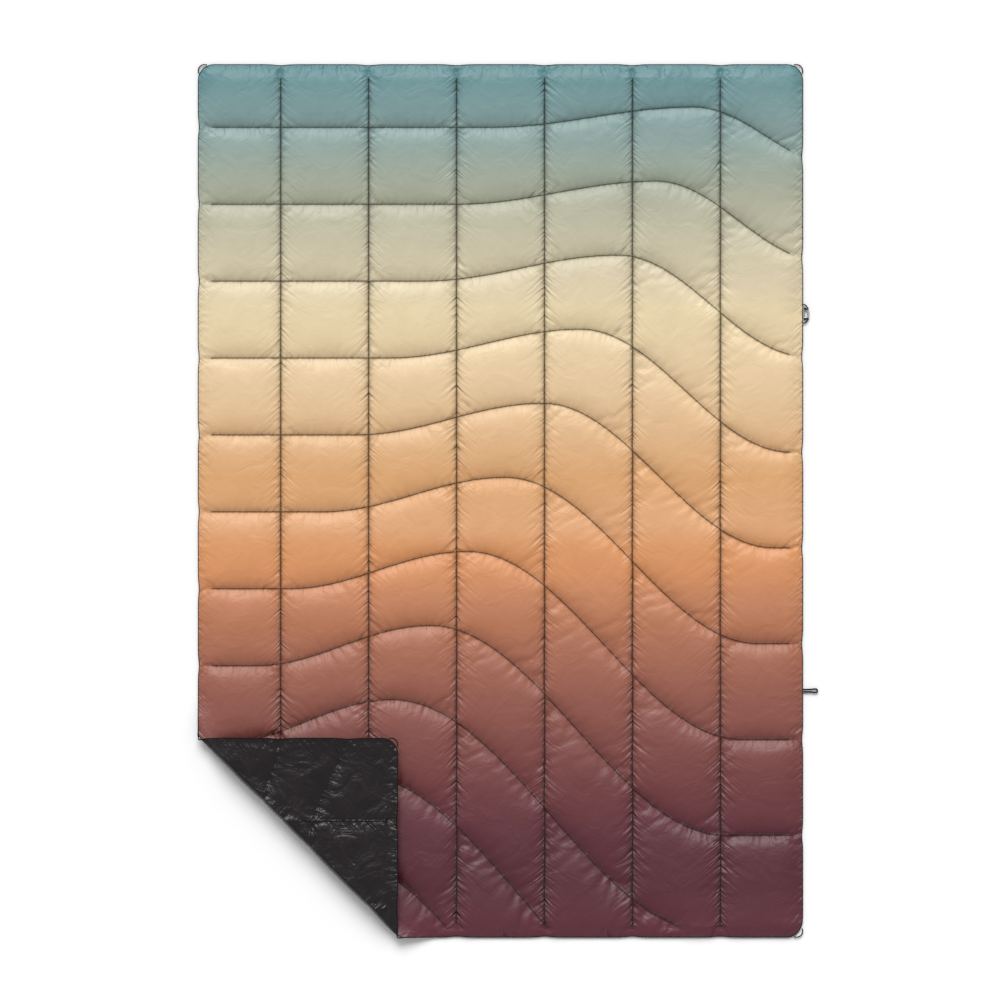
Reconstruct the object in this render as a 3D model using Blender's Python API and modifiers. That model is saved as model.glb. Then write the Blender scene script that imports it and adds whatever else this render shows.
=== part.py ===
"""Quilted camp blanket with one corner folded over. Metres, +Z up.

The blanket lies on its back shell. X runs across it, Y runs from the foot to the head, and the origin is
the middle of its footprint on the ground. Every layer is built flat, and the pieces of the lower left
corner are then turned over about the fold's axis.
"""

from bisect import bisect_right
from math import ceil, cos, hypot, pi, radians, sin, sqrt

import bmesh
import bpy
from mathutils import Matrix, Vector

# Outline
WIDTH = 1.320
LENGTH = 1.905
CORNER_RADIUS = 0.035
MARGIN = 0.030  # from the edge to the end of every stitch line
FOLD_LEG = 0.437  # along each edge, from the corner to the fold

# Thickness
LOFT = 0.026  # height of a puffed cell
SHELL = 0.0006  # one layer of shell cloth
SEAM_TOP = 0.0095  # the top face on a stitch line
SEAM_BACK = 0.0040  # the back face on a stitch line
EDGE_HEIGHT = 0.0040  # middle of the sewn edge
PUFF_REACH = 0.050  # from a stitch line to full loft
EDGE_TAPER = 0.045  # from the edge to full loft
FILL_INSET = 0.008  # the insulation stops this far inside the edge

# Gaps between touching pieces
CLEARANCE = 0.0003
FOLD_CLEARANCE = 0.0005

# Stitching: as many columns and wave rows as fit; each row starts, crests and troughs further along
COLUMN_PITCH = 0.1917
RISE_START = (-0.0233, -0.0730)  # x of the first row, and the step to each next row
CREST_X = (0.4217, -0.0822)
TROUGH_X = (0.7364, -0.0350)
FLAT_DROP = (0.1376, 0.1677)  # down from the head edge, and the step to each next row
CREST_DROP = (0.0934, 0.1615)
TROUGH_DROP = (0.2194, 0.2088)
THREAD_DIAMETER = 0.0006
CELL_STEPS = 3  # mesh steps across each cell

# Edge and cords
PIPING_DIAMETER = 0.0022
LOOP_CORD = 0.0026
# Corner loop: degrees round the corner's arc, and how far the cord stands off it
LOOP_ROUTE = (
    (66, 0.0), (61, 0.0021), (56, 0.0042), (51, 0.0055), (45, 0.0060),
    (39, 0.0055), (34, 0.0042), (29, 0.0021), (24, 0.0),
)
CAPE_LOOP_Y = -0.414
CAPE_CORD = 0.0034
# Cape loop: distance out from the edge, and along it from the loop's middle
CAPE_LOOP_ROUTE = (
    (0.0003, 0.0026), (0.0050, 0.0026), (0.0100, 0.0026), (0.0155, 0.0028), (0.0210, 0.0034),
    (0.0260, 0.0039), (0.0295, 0.0033), (0.0314, 0.0), (0.0295, -0.0033), (0.0260, -0.0039),
    (0.0210, -0.0034), (0.0155, -0.0028), (0.0100, -0.0026), (0.0050, -0.0026), (0.0003, -0.0026),
)

# Cape clip: out from the edge, and along it from the clip's middle
CLIP_Y = 0.408
CLIP_THICKNESS = 0.0050
CLIP_INNER_SIDE = 0.0014
CLIP_OUTER_SIDE = 0.0132
CLIP_SHOULDER = 0.0064
CLIP_HALF_LENGTH = 0.0130
CLIP_NOSE_HALF_LENGTH = 0.0082
CLIP_MOUTH_DEPTH = 0.0086
CLIP_MOUTH_HALF_LENGTH = 0.0080
CLIP_BEVEL = 0.0004
TUNNEL_OUT = 0.0109
GATE_WIDTH = 0.0018
GATE_THICKNESS = 0.0024
GATE_EYE_RADIUS = 0.0017
GATE_OUT = 0.0026
GATE_PIVOT = -0.0104
GATE_TIP_GAP = 0.0004
PIN_DIAMETER = 0.0010
# The clip's cord, sewn in at both ends, through the clip's tunnel
CLIP_CORD_ROUTE = (
    (0.0003, 0.0205), (0.0026, 0.0203), (0.0052, 0.0190), (0.0076, 0.0167), (0.0094, 0.0142),
    (0.0105, 0.0122), (0.0109, 0.0106), (0.0109, 0.0050), (0.0109, 0.0), (0.0109, -0.0050),
    (0.0109, -0.0106), (0.0105, -0.0122), (0.0094, -0.0142), (0.0076, -0.0167), (0.0052, -0.0190),
    (0.0026, -0.0203), (0.0003, -0.0205),
)

COLUMNS = int((WIDTH - 2 * MARGIN) / COLUMN_PITCH)
ROWS = 1 + int((LENGTH - MARGIN - FLAT_DROP[0]) / FLAT_DROP[1])
SHELL_INSET = PIPING_DIAMETER + CLEARANCE
EDGE_THICKNESS = 2 * SHELL + CLEARANCE
FOLD_HEIGHT = LOFT + FOLD_CLEARANCE / 2
FOLD_AXIS_POINT = Vector(((FOLD_LEG - WIDTH) / 2, (FOLD_LEG - LENGTH) / 2, FOLD_HEIGHT))
FOLD_AXIS = Vector((1, -1, 0)).normalized()
FOLD_INWARD = Vector((1, 1, 0)).normalized()
ARC_STEP = pi / 8
MAIN, CORNER = 1, -1


def clear_scene():
    for obj in list(bpy.data.objects):
        bpy.data.objects.remove(obj, do_unlink=True)


def new_collection(name):
    made = bpy.data.collections.new(name)
    bpy.context.scene.collection.children.link(made)
    return made


def material(name, colour, roughness, metallic=0.0):
    made = bpy.data.materials.new(name)
    made.use_nodes = True
    shader = made.node_tree.nodes["Principled BSDF"]
    shader.inputs["Base Color"].default_value = (*colour, 1)
    shader.inputs["Roughness"].default_value = roughness
    shader.inputs["Metallic"].default_value = metallic
    made.diffuse_color = (*colour, 1)
    return made


def place(obj, finish=None, parent=None, location=(0, 0, 0)):
    parts.objects.link(obj)
    obj.location = location
    obj.parent = parent
    if finish:
        obj.data.materials.append(finish)
    return obj


# The quilt's shape


def stitch_column(number):
    """x of a column of stitches; column 0 and the one after the last would lie beyond the edges."""
    return (number - (COLUMNS - 1) / 2) * COLUMN_PITCH


def eased(start, end, share):
    return start + (end - start) * (1 - cos(pi * min(max(share, 0), 1))) / 2


def wave_row(number, x):
    """y of a wave row at x: flat from the left, an eased rise to the crest, then an eased drop to the trough."""
    rise, crest, trough = (first + number * step for first, step in (RISE_START, CREST_X, TROUGH_X))
    flat_y, crest_y, trough_y = (
        LENGTH / 2 - first - number * step for first, step in (FLAT_DROP, CREST_DROP, TROUGH_DROP)
    )
    if x < crest:
        return eased(flat_y, crest_y, (x - rise) / (crest - rise))
    return eased(crest_y, trough_y, (x - crest) / (trough - crest))


def drawn_row(number, x):
    """y of a wave row as the mesh draws it: straight between the mesh's columns."""
    right = min(max(bisect_right(GRID_X, x), 1), len(GRID_X) - 1)
    x0, x1 = GRID_X[right - 1], GRID_X[right]
    y0, y1 = wave_row(number, x0), wave_row(number, x1)
    return y0 + (y1 - y0) * (x - x0) / (x1 - x0)


def edge_distance(x, y):
    """How far a point lies inside the blanket's rounded outline."""
    across = abs(x) - WIDTH / 2 + CORNER_RADIUS
    along = abs(y) - LENGTH / 2 + CORNER_RADIUS
    return CORNER_RADIUS - hypot(max(across, 0), max(along, 0)) - min(max(across, along), 0)


def puff(distance, reach):
    share = min(max(distance / reach, 0), 1)
    return sqrt(share * (2 - share))


def heights(x, y):
    """The top and back faces' heights over the ground."""
    inside = edge_distance(x, y)
    to_column = min(abs(x - stitch_column(n)) for n in range(COLUMNS))
    to_row = min(abs(y - drawn_row(n, x)) for n in range(ROWS))
    quilted = min(max(inside / MARGIN, 0), 1)
    crown = 1 - (1 - puff(to_column, PUFF_REACH) * puff(to_row, PUFF_REACH)) * quilted
    taper = puff(inside - SHELL_INSET, EDGE_TAPER)
    top, back = SEAM_TOP + (LOFT - SEAM_TOP) * crown, SEAM_BACK * (1 - crown)
    edge_top, edge_back = EDGE_HEIGHT + EDGE_THICKNESS / 2, EDGE_HEIGHT - EDGE_THICKNESS / 2
    return edge_top + (top - edge_top) * taper, edge_back + (back - edge_back) * taper


def fold_side(x, y):
    """Distance from the fold line, positive on the main side."""
    return (Vector((x, y, FOLD_HEIGHT)) - FOLD_AXIS_POINT).dot(FOLD_INWARD)


def stepped(stops):
    """Each gap between the stops in equal mesh steps, with the margin at each end left whole."""
    made = [stops[0]]
    for low, high in zip(stops[1:-2], stops[2:-1]):
        made += [low + (high - low) * step / CELL_STEPS for step in range(CELL_STEPS)]
    return made + list(stops[-2:])


GRID_X = stepped(
    [-WIDTH / 2, MARGIN - WIDTH / 2]
    + [stitch_column(n) for n in range(COLUMNS)]
    + [WIDTH / 2 - MARGIN, WIDTH / 2]
)


def grid_y(x):
    """y of each mesh row at x, from the head down past the foot."""
    past_foot = ceil((LENGTH - CREST_DROP[0]) / CREST_DROP[1]) + 2
    return stepped([LENGTH / 2, LENGTH / 2 - MARGIN] + [wave_row(n, x) for n in range(past_foot)])


def outline_planes(inset):
    """A point and an outward normal for each side and each facet of the rounded corners."""
    for across in (-1, 1):
        yield Vector((across * (WIDTH / 2 - inset), 0, 0)), Vector((across, 0, 0))
        yield Vector((0, across * (LENGTH / 2 - inset), 0)), Vector((0, across, 0))
        for along in (-1, 1):
            centre = corner_centre(across, along)
            for step in (1, 2, 3):
                outward = Vector((across * cos(step * ARC_STEP), along * sin(step * ARC_STEP), 0))
                yield centre + outward * (CORNER_RADIUS - inset), outward


def corner_centre(across, along):
    return Vector((across * (WIDTH / 2 - CORNER_RADIUS), along * (LENGTH / 2 - CORNER_RADIUS), 0))


def slice_at(bm, point, outward, clear):
    bmesh.ops.bisect_plane(
        bm, geom=bm.verts[:] + bm.edges[:] + bm.faces[:], dist=1e-6,
        plane_co=point, plane_no=outward, clear_outer=clear,
    )


def flat_quilt(inset):
    """The blanket's plan as a flat mesh with its edges along the stitch lines."""
    bm = bmesh.new()
    across, along = len(GRID_X) - 1, len(grid_y(0)) - 1
    bmesh.ops.create_grid(bm, x_segments=across, y_segments=along, size=0.5)
    for vert in bm.verts:
        column = round((vert.co.x + 0.5) * across)
        row = round((0.5 - vert.co.y) * along)
        vert.co = (GRID_X[column], grid_y(GRID_X[column])[row], 0)
    for shared in (SHELL_INSET, FILL_INSET, MARGIN):
        for point, outward in outline_planes(shared):
            slice_at(bm, point, outward, clear=shared <= inset)
    return bm


def quilt_layer(name, side, inset, finish, faces_at, parent=None):
    """One closed layer; faces_at gives its upper and lower heights from the quilt's top and back."""
    bm = flat_quilt(inset)
    # The same triangles in every layer keep the layers' facets parallel.
    bmesh.ops.triangulate(bm, faces=bm.faces[:], quad_method="SHORT_EDGE")
    raised = bmesh.ops.extrude_face_region(bm, geom=bm.faces[:])["geom"]
    upper_verts = {item for item in raised if isinstance(item, bmesh.types.BMVert)}
    for vert in bm.verts:
        upper, lower = faces_at(*heights(vert.co.x, vert.co.y))
        vert.co.z = upper if vert in upper_verts else lower
    slice_at(bm, FOLD_AXIS_POINT + FOLD_INWARD * side * FOLD_CLEARANCE, -side * FOLD_INWARD, clear=True)
    bmesh.ops.holes_fill(bm, edges=[edge for edge in bm.edges if edge.is_boundary])
    bmesh.ops.recalc_face_normals(bm, faces=bm.faces[:])
    mesh = bpy.data.meshes.new(name)
    bm.to_mesh(mesh)
    bm.free()
    layer = bpy.data.objects.new(name, mesh)
    layer.data.shade_smooth()
    layer.data.set_sharp_from_angle(angle=radians(50))
    return place(layer, finish, parent, -parent.location if parent else (0, 0, 0))


def quilt(prefix, side, parent=None):
    quilt_layer(
        prefix + "top_shell", side, SHELL_INSET, printed_nylon, lambda top, back: (top, top - SHELL), parent
    )
    quilt_layer(
        prefix + "fill", side, FILL_INSET, fibre_fill,
        lambda top, back: (top - SHELL - CLEARANCE, back + SHELL + CLEARANCE), parent,
    )
    quilt_layer(
        prefix + "back_shell", side, SHELL_INSET, black_nylon, lambda top, back: (back + SHELL, back), parent
    )


# Round and drawn pieces


def drawn_tube(name, points, diameter, finish, parent=None, location=(0, 0, 0), sides=2):
    """A tube along a line of points, with closed ends."""
    curve = bpy.data.curves.new(name, "CURVE")
    curve.dimensions = "3D"
    curve.bevel_depth = diameter / 2
    curve.bevel_resolution = sides
    curve.use_fill_caps = True
    spline = curve.splines.new("POLY")
    spline.points.add(len(points) - 1)
    for slot, point in zip(spline.points, points):
        slot.co = (*point, 1)
    return place(bpy.data.objects.new(name, curve), finish, parent, location)


def smooth_route(points, steps=2):
    """Points along a smooth curve through the route's own points."""
    points = [Vector(point) for point in points]
    ends = [2 * points[0] - points[1], *points, 2 * points[-1] - points[-2]]
    made = []
    for before, start, end, after in zip(ends, ends[1:], ends[2:], ends[3:]):
        for step in range(steps):
            t = step / steps
            made.append(
                0.5 * (2 * start + (end - before) * t + (2 * before - 5 * start + 4 * end - after) * t**2
                       + (3 * start - before - 3 * end + after) * t**3)
            )
    return made + [points[-1]]


def kept_stretch(points, inside):
    """The part of a flat line where inside() is positive, ending where it crosses zero."""
    kept = []
    for (x0, y0), (x1, y1) in zip(points, points[1:]):
        start, end = inside(x0, y0), inside(x1, y1)
        if start > 0:
            kept.append((x0, y0))
        if start * end < 0:
            share = start / (start - end)
            kept.append((x0 + (x1 - x0) * share, y0 + (y1 - y0) * share))
    if kept and inside(*points[-1]) > 0:
        kept.append(points[-1])
    return kept


def stitch_line(name, points, side, lift, parent=None):
    """A thread laid on the top shell, where the line lies on this side of the fold and above the foot's margin."""
    points = kept_stretch(points, lambda x, y: y + LENGTH / 2 - MARGIN)
    points = kept_stretch(points, lambda x, y: side * fold_side(x, y) - 2 * FOLD_CLEARANCE)
    if len(points) > 1:
        laid = [(x, y, heights(x, y)[0] + lift) for x, y in points]
        drawn_tube(
            name, laid, THREAD_DIAMETER, thread, parent, -parent.location if parent else (0, 0, 0), sides=0
        )


def stitching(prefix, side, parent=None):
    on_shell = CLEARANCE + THREAD_DIAMETER / 2
    over_rows = on_shell + THREAD_DIAMETER + CLEARANCE
    for n in range(ROWS):
        row = [(x, wave_row(n, x)) for x in GRID_X[1:-1]]
        stitch_line(f"{prefix}stitch_row_{n + 1:02d}", row, side, on_shell, parent)
    for n in range(COLUMNS):
        x = stitch_column(n)
        column = [(x, y) for y in grid_y(x)[1:]]
        stitch_line(f"{prefix}stitch_column_{n + 1}", column, side, over_rows, parent)


def piping_corner(across, along):
    """Points of the piping round one corner, from the side edge to the head or foot edge."""
    reach = (CORNER_RADIUS - PIPING_DIAMETER / 2) / cos(ARC_STEP / 2)
    angles = [(step + 0.5) * ARC_STEP for step in range(4)]
    centre = corner_centre(across, along) + Vector((0, 0, EDGE_HEIGHT))
    return [centre + reach * Vector((across * cos(a), along * sin(a), 0)) for a in angles]


def piping(name, side, parent=None):
    inset, end_gap = PIPING_DIAMETER / 2, side * (PIPING_DIAMETER / 2 + 2 * FOLD_CLEARANCE)
    corner_x, corner_y = inset - WIDTH / 2, inset - LENGTH / 2
    reach = FOLD_LEG - inset + end_gap
    on_side = (corner_x, -LENGTH / 2 + reach, EDGE_HEIGHT)
    on_foot = (-WIDTH / 2 + reach, corner_y, EDGE_HEIGHT)
    if side == MAIN:
        turns = piping_corner(-1, 1) + piping_corner(1, 1)[::-1] + piping_corner(1, -1)
    else:
        turns = piping_corner(-1, -1)
    drawn_tube(
        name, [on_side, *turns, on_foot], PIPING_DIAMETER, black_cord, parent,
        -parent.location if parent else (0, 0, 0), sides=1,
    )


def corner_loop(name, across, along, parent=None):
    centre = corner_centre(across, along) + Vector((0, 0, EDGE_HEIGHT))
    route = []
    for degrees, stand_off in LOOP_ROUTE:
        reach = CORNER_RADIUS + CLEARANCE + LOOP_CORD / 2 + stand_off
        a = radians(degrees)
        route.append(centre + reach * Vector((across * cos(a), along * sin(a), 0)))
    drawn_tube(
        name, smooth_route(route), LOOP_CORD, black_cord, parent,
        -parent.location if parent else (0, 0, 0),
    )


def edge_cord(name, route, diameter, parent):
    drawn_tube(name, smooth_route([(*point, 0) for point in route]), diameter, black_cord, parent)


# The clip


def flat_plate(name, outline, thickness):
    """A plate with a drawn outline, made a mesh so that it can be cut."""
    curve = bpy.data.curves.new(name, "CURVE")
    curve.dimensions = "2D"
    curve.fill_mode = "BOTH"
    curve.extrude = thickness / 2
    spline = curve.splines.new("POLY")
    spline.points.add(len(outline) - 1)
    for slot, (x, y) in zip(spline.points, outline):
        slot.co = (x, y, 0, 1)
    spline.use_cyclic_u = True
    drawn = bpy.data.objects.new(name, curve)
    parts.objects.link(drawn)
    mesh = bpy.data.meshes.new_from_object(drawn.evaluated_get(bpy.context.evaluated_depsgraph_get()))
    bpy.data.objects.remove(drawn)
    bpy.data.curves.remove(curve)
    bm = bmesh.new()
    bm.from_mesh(mesh)
    bmesh.ops.remove_doubles(bm, verts=bm.verts[:], dist=1e-6)
    bmesh.ops.dissolve_limit(bm, angle_limit=radians(1), verts=bm.verts[:], edges=bm.edges[:])
    bmesh.ops.recalc_face_normals(bm, faces=bm.faces[:])
    bm.to_mesh(mesh)
    bm.free()
    return bpy.data.objects.new(name, mesh)


def cutter(name, bm, location, rotation=(0, 0, 0)):
    mesh = bpy.data.meshes.new(name)
    bm.to_mesh(mesh)
    bm.free()
    made = bpy.data.objects.new(name, mesh)
    cutters.objects.link(made)
    made.parent = clip_edge
    made.location = location
    made.rotation_euler = rotation
    made.hide_render = True
    made.display_type = "WIRE"
    return made


def round_cutter(name, diameter, length, location, rotation=(0, 0, 0)):
    bm = bmesh.new()
    bmesh.ops.create_cone(
        bm, cap_ends=True, segments=16, radius1=diameter / 2, radius2=diameter / 2, depth=length
    )
    return cutter(name, bm, location, rotation)


def box_cutter(name, size, location):
    bm = bmesh.new()
    bmesh.ops.create_cube(bm, size=1, matrix=Matrix.Diagonal((*size, 1)))
    return cutter(name, bm, location)


def cut(obj, tool):
    modifier = obj.modifiers.new(tool.name, "BOOLEAN")
    modifier.object = tool
    modifier.solver = "EXACT"


def clip():
    """C-shaped body, its mouth closed by a pivoting gate, with the cord through a tunnel in its outer rim."""
    upper = [
        (CLIP_INNER_SIDE, CLIP_MOUTH_HALF_LENGTH), (CLIP_INNER_SIDE, CLIP_HALF_LENGTH),
        (CLIP_SHOULDER, CLIP_HALF_LENGTH), (CLIP_OUTER_SIDE, CLIP_NOSE_HALF_LENGTH),
    ]
    inner = [(CLIP_MOUTH_DEPTH, -CLIP_MOUTH_HALF_LENGTH), (CLIP_MOUTH_DEPTH, CLIP_MOUTH_HALF_LENGTH)]
    body = flat_plate("clip_body", upper + [(x, -y) for x, y in reversed(upper)] + inner, CLIP_THICKNESS)
    rounding = body.modifiers.new("rounding", "BEVEL")
    rounding.width = CLIP_BEVEL
    rounding.segments = 2
    place(body, grey_metal, clip_edge)
    cord_hole = LOOP_CORD + 2 * CLEARANCE + 2 * CLIP_BEVEL / 4
    cut(body, round_cutter("cord_tunnel", cord_hole, 3 * CLIP_HALF_LENGTH, (TUNNEL_OUT, 0, 0), (pi / 2, 0, 0)))
    pivot = (GATE_OUT, GATE_PIVOT, 0)
    pin_hole = PIN_DIAMETER + 2 * CLEARANCE
    hole = round_cutter("pin_hole", pin_hole, 2 * CLIP_THICKNESS, pivot)
    eye_room = GATE_EYE_RADIUS + CLEARANCE
    slot_low, slot_high = GATE_PIVOT - eye_room, CLEARANCE - CLIP_MOUTH_HALF_LENGTH
    slot_depth = GATE_OUT + 1.4 * GATE_EYE_RADIUS
    slot_size = (2 * slot_depth, slot_high - slot_low, GATE_THICKNESS + 2 * CLEARANCE)
    cut(body, box_cutter("gate_slot", slot_size, (0, (slot_low + slot_high) / 2, 0)))
    cut(body, hole)

    neck = pi / 2 - radians(32)
    arc_steps = 12
    eye = [neck - (pi + 2 * neck) * step / arc_steps for step in range(arc_steps + 1)]
    tip, half = CLIP_MOUTH_HALF_LENGTH - GATE_TIP_GAP, GATE_WIDTH / 2
    outline = [(GATE_OUT + GATE_EYE_RADIUS * cos(a), GATE_PIVOT + GATE_EYE_RADIUS * sin(a)) for a in eye]
    outline += [
        (GATE_OUT - half, tip - half / 2), (GATE_OUT - half / 2, tip),
        (GATE_OUT + half / 2, tip), (GATE_OUT + half, tip - half / 2),
    ]
    gate = flat_plate("clip_gate", outline, GATE_THICKNESS)
    gate.data.transform(Matrix.Translation((-GATE_OUT, -GATE_PIVOT, 0)))
    place(gate, grey_metal, clip_edge, pivot)
    cut(gate, hole)

    bm = bmesh.new()
    bmesh.ops.create_cone(
        bm, cap_ends=True, segments=16, radius1=PIN_DIAMETER / 2, radius2=PIN_DIAMETER / 2,
        depth=CLIP_THICKNESS - CLIP_BEVEL,
    )
    pin = bpy.data.meshes.new("clip_gate_pin")
    bm.to_mesh(pin)
    bm.free()
    place(bpy.data.objects.new("clip_gate_pin", pin), steel, clip_edge, pivot)
    edge_cord("clip_cord", CLIP_CORD_ROUTE, LOOP_CORD, clip_edge)


def axis_empty(name, location, rotation=None, parent=None):
    made = bpy.data.objects.new(name, None)
    parts.objects.link(made)
    made.parent = parent
    made.location = location
    if rotation:
        made.rotation_euler = rotation.to_euler()
    return made


clear_scene()
parts = new_collection("camp_blanket")
cutters = new_collection("cutters")

printed_nylon = material("printed_nylon", (0.60, 0.32, 0.16), 0.45)
black_nylon = material("black_nylon", (0.012, 0.011, 0.012), 0.38)
fibre_fill = material("fibre_fill", (0.85, 0.85, 0.83), 0.95)
thread = material("thread", (0.16, 0.13, 0.11), 0.7)
black_cord = material("black_cord", (0.010, 0.010, 0.011), 0.6)
grey_metal = material("grey_metal", (0.42, 0.43, 0.43), 0.4, 0.7)
steel = material("steel", (0.6, 0.6, 0.6), 0.3, 1.0)

quilt("", MAIN)
stitching("", MAIN)
piping("edge_piping", MAIN)

# The corner's pieces hang from an empty on the fold's axis, turned over about it.
fold_axis = axis_empty("fold_axis", FOLD_AXIS_POINT, Matrix.Rotation(pi, 4, FOLD_AXIS))
quilt("corner_", CORNER, fold_axis)
stitching("corner_", CORNER, fold_axis)
piping("corner_edge_piping", CORNER, fold_axis)

corner_loop("loop_head_left", -1, 1)
corner_loop("loop_head_right", 1, 1)
corner_loop("loop_foot_right", 1, -1)
corner_loop("loop_foot_left", -1, -1, fold_axis)

cape_edge = axis_empty("cape_edge", (WIDTH / 2, CAPE_LOOP_Y, EDGE_HEIGHT))
edge_cord("cape_loop", CAPE_LOOP_ROUTE, CAPE_CORD, cape_edge)

# The clip swings on its cord about the piping.
clip_swing = axis_empty("clip_swing", (WIDTH / 2 - PIPING_DIAMETER / 2, CLIP_Y, EDGE_HEIGHT))
clip_edge = axis_empty("clip_edge", (PIPING_DIAMETER / 2, 0, 0), parent=clip_swing)
clip()
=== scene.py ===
from math import cos, pi, radians, sin

import bmesh
import bpy
import numpy as np
from mathutils import Matrix, Vector


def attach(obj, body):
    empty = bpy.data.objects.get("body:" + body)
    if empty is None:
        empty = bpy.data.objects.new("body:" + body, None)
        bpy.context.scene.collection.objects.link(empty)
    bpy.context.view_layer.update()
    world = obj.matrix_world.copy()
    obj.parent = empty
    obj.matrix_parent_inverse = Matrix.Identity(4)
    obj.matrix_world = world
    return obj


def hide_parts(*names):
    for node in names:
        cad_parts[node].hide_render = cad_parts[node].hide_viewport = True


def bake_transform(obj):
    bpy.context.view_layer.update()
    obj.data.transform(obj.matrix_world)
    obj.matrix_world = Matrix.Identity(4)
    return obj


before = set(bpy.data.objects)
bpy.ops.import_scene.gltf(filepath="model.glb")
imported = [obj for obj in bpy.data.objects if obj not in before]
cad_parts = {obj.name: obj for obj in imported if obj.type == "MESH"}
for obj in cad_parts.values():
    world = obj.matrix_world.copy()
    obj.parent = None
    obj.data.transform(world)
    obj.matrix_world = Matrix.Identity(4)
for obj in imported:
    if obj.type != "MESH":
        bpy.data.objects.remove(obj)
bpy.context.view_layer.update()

# Camera
# It looks straight down on the middle of the blanket from 24 m, with a long lens, so the sides stay square.
CAMERA_HEIGHT = 24.0
VIEW_SIDE = 2.180
QUILT_MIDDLE_HEIGHT = 0.015
camera_data = bpy.data.cameras.new("overhead")
SENSOR_WIDTH = 36.0
camera_data.sensor_width = SENSOR_WIDTH
camera_data.lens = SENSOR_WIDTH * (CAMERA_HEIGHT - QUILT_MIDDLE_HEIGHT) / VIEW_SIDE
camera = bpy.data.objects.new("overhead", camera_data)
camera.location = (-0.001, 0.002, CAMERA_HEIGHT)
camera_data.clip_end = 100
bpy.context.scene.collection.objects.link(camera)
bpy.context.scene.camera = camera

# Corner loops and cape loop
# Short lengths of black braided nylon cord, both ends sewn in at the blanket's edge. The corner loops take
# pegs; the longer loop on the right edge is where the clip hooks on when the blanket is worn.
WIDTH = 1.320
LENGTH = 1.905
CORNER_RADIUS = 0.035
EDGE_HEIGHT = 0.0040
CLEARANCE = 0.0003
LOOP_CORD = 0.0026
LOOP_ROUTE = (
    (66, 0.0), (61, 0.0021), (56, 0.0042), (51, 0.0055), (45, 0.0060),
    (39, 0.0055), (34, 0.0042), (29, 0.0021), (24, 0.0),
)
CAPE_LOOP_Y = -0.414
CAPE_CORD = 0.0034
CAPE_LOOP_ROUTE = (
    (0.0003, 0.0026), (0.0050, 0.0026), (0.0100, 0.0026), (0.0155, 0.0028), (0.0210, 0.0034),
    (0.0260, 0.0039), (0.0295, 0.0033), (0.0314, 0.0), (0.0295, -0.0033), (0.0260, -0.0039),
    (0.0210, -0.0034), (0.0155, -0.0028), (0.0100, -0.0026), (0.0050, -0.0026), (0.0003, -0.0026),
)
# The corner is folded over about this axis
FOLD_LEG = 0.437
FOLD_HEIGHT = 0.02625
FOLD_POINT = Vector(((FOLD_LEG - WIDTH) / 2, (FOLD_LEG - LENGTH) / 2, FOLD_HEIGHT))
FOLD_AXIS = Vector((1, -1, 0)).normalized()
FOLD_INWARD = Vector((1, 1, 0)).normalized()
FOLDED_OVER = (
    Matrix.Translation(FOLD_POINT) @ Matrix.Rotation(pi, 4, FOLD_AXIS) @ Matrix.Translation(-FOLD_POINT)
)


def link(nodes, source, target):
    nodes.id_data.links.new(source, target)


def node(nodes, kind, **settings):
    made = nodes.new("ShaderNode" + kind)
    for name, value in settings.items():
        setattr(made, name, value)
    return made


def maths(nodes, operation, first, second=None, clamp=False):
    """A Math node on sockets or plain numbers; its output."""
    made = node(nodes, "Math", operation=operation, use_clamp=clamp)
    for socket, value in zip(made.inputs, (first, second)):
        if isinstance(value, (int, float)):
            socket.default_value = value
        elif value is not None:
            link(nodes, value, socket)
    return made.outputs[0]


def new_group(name, inputs, outputs):
    """A shader node group with named inputs (name: default, or None for a vector) and float outputs."""
    group = bpy.data.node_groups.new(name, "ShaderNodeTree")
    for label, default in inputs.items():
        kind = "NodeSocketVector" if default is None else "NodeSocketFloat"
        socket = group.interface.new_socket(label, in_out="INPUT", socket_type=kind)
        if default is not None:
            socket.default_value = default
    for label in outputs:
        group.interface.new_socket(label, in_out="OUTPUT", socket_type="NodeSocketFloat")
    return group, group.nodes.new("NodeGroupInput"), group.nodes.new("NodeGroupOutput")


def use_group(nodes, group, vector, **values):
    made = nodes.new("ShaderNodeGroup")
    made.node_tree = group
    link(nodes, vector, made.inputs["Vector"])
    for name, value in values.items():
        made.inputs[name].default_value = value
    return made


def bump(nodes, height, distance, strength=1.0, below=None):
    made = node(nodes, "Bump")
    made.inputs["Distance"].default_value = distance
    made.inputs["Strength"].default_value = strength
    link(nodes, height, made.inputs["Height"])
    if below:
        link(nodes, below, made.inputs["Normal"])
    return made.outputs["Normal"]


def new_material(name, roughness, **values):
    made = bpy.data.materials.new(name)
    made.use_nodes = True
    shader = made.node_tree.nodes["Principled BSDF"]
    shader.inputs["Roughness"].default_value = roughness
    for label, value in values.items():
        shader.inputs[label.replace("_", " ")].default_value = value
    return made, made.node_tree.nodes, shader


def mixed_colour(nodes, share, first, second):
    """A Mix of two colours, each a socket or plain values, by a socket; its output."""
    made = node(nodes, "Mix", data_type="RGBA")
    link(nodes, share, made.inputs[0])
    for socket, value in ((made.inputs[6], first), (made.inputs[7], second)):
        if isinstance(value, tuple):
            socket.default_value = (*value, 1)
        else:
            link(nodes, value, socket)
    return made.outputs[2]


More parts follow.
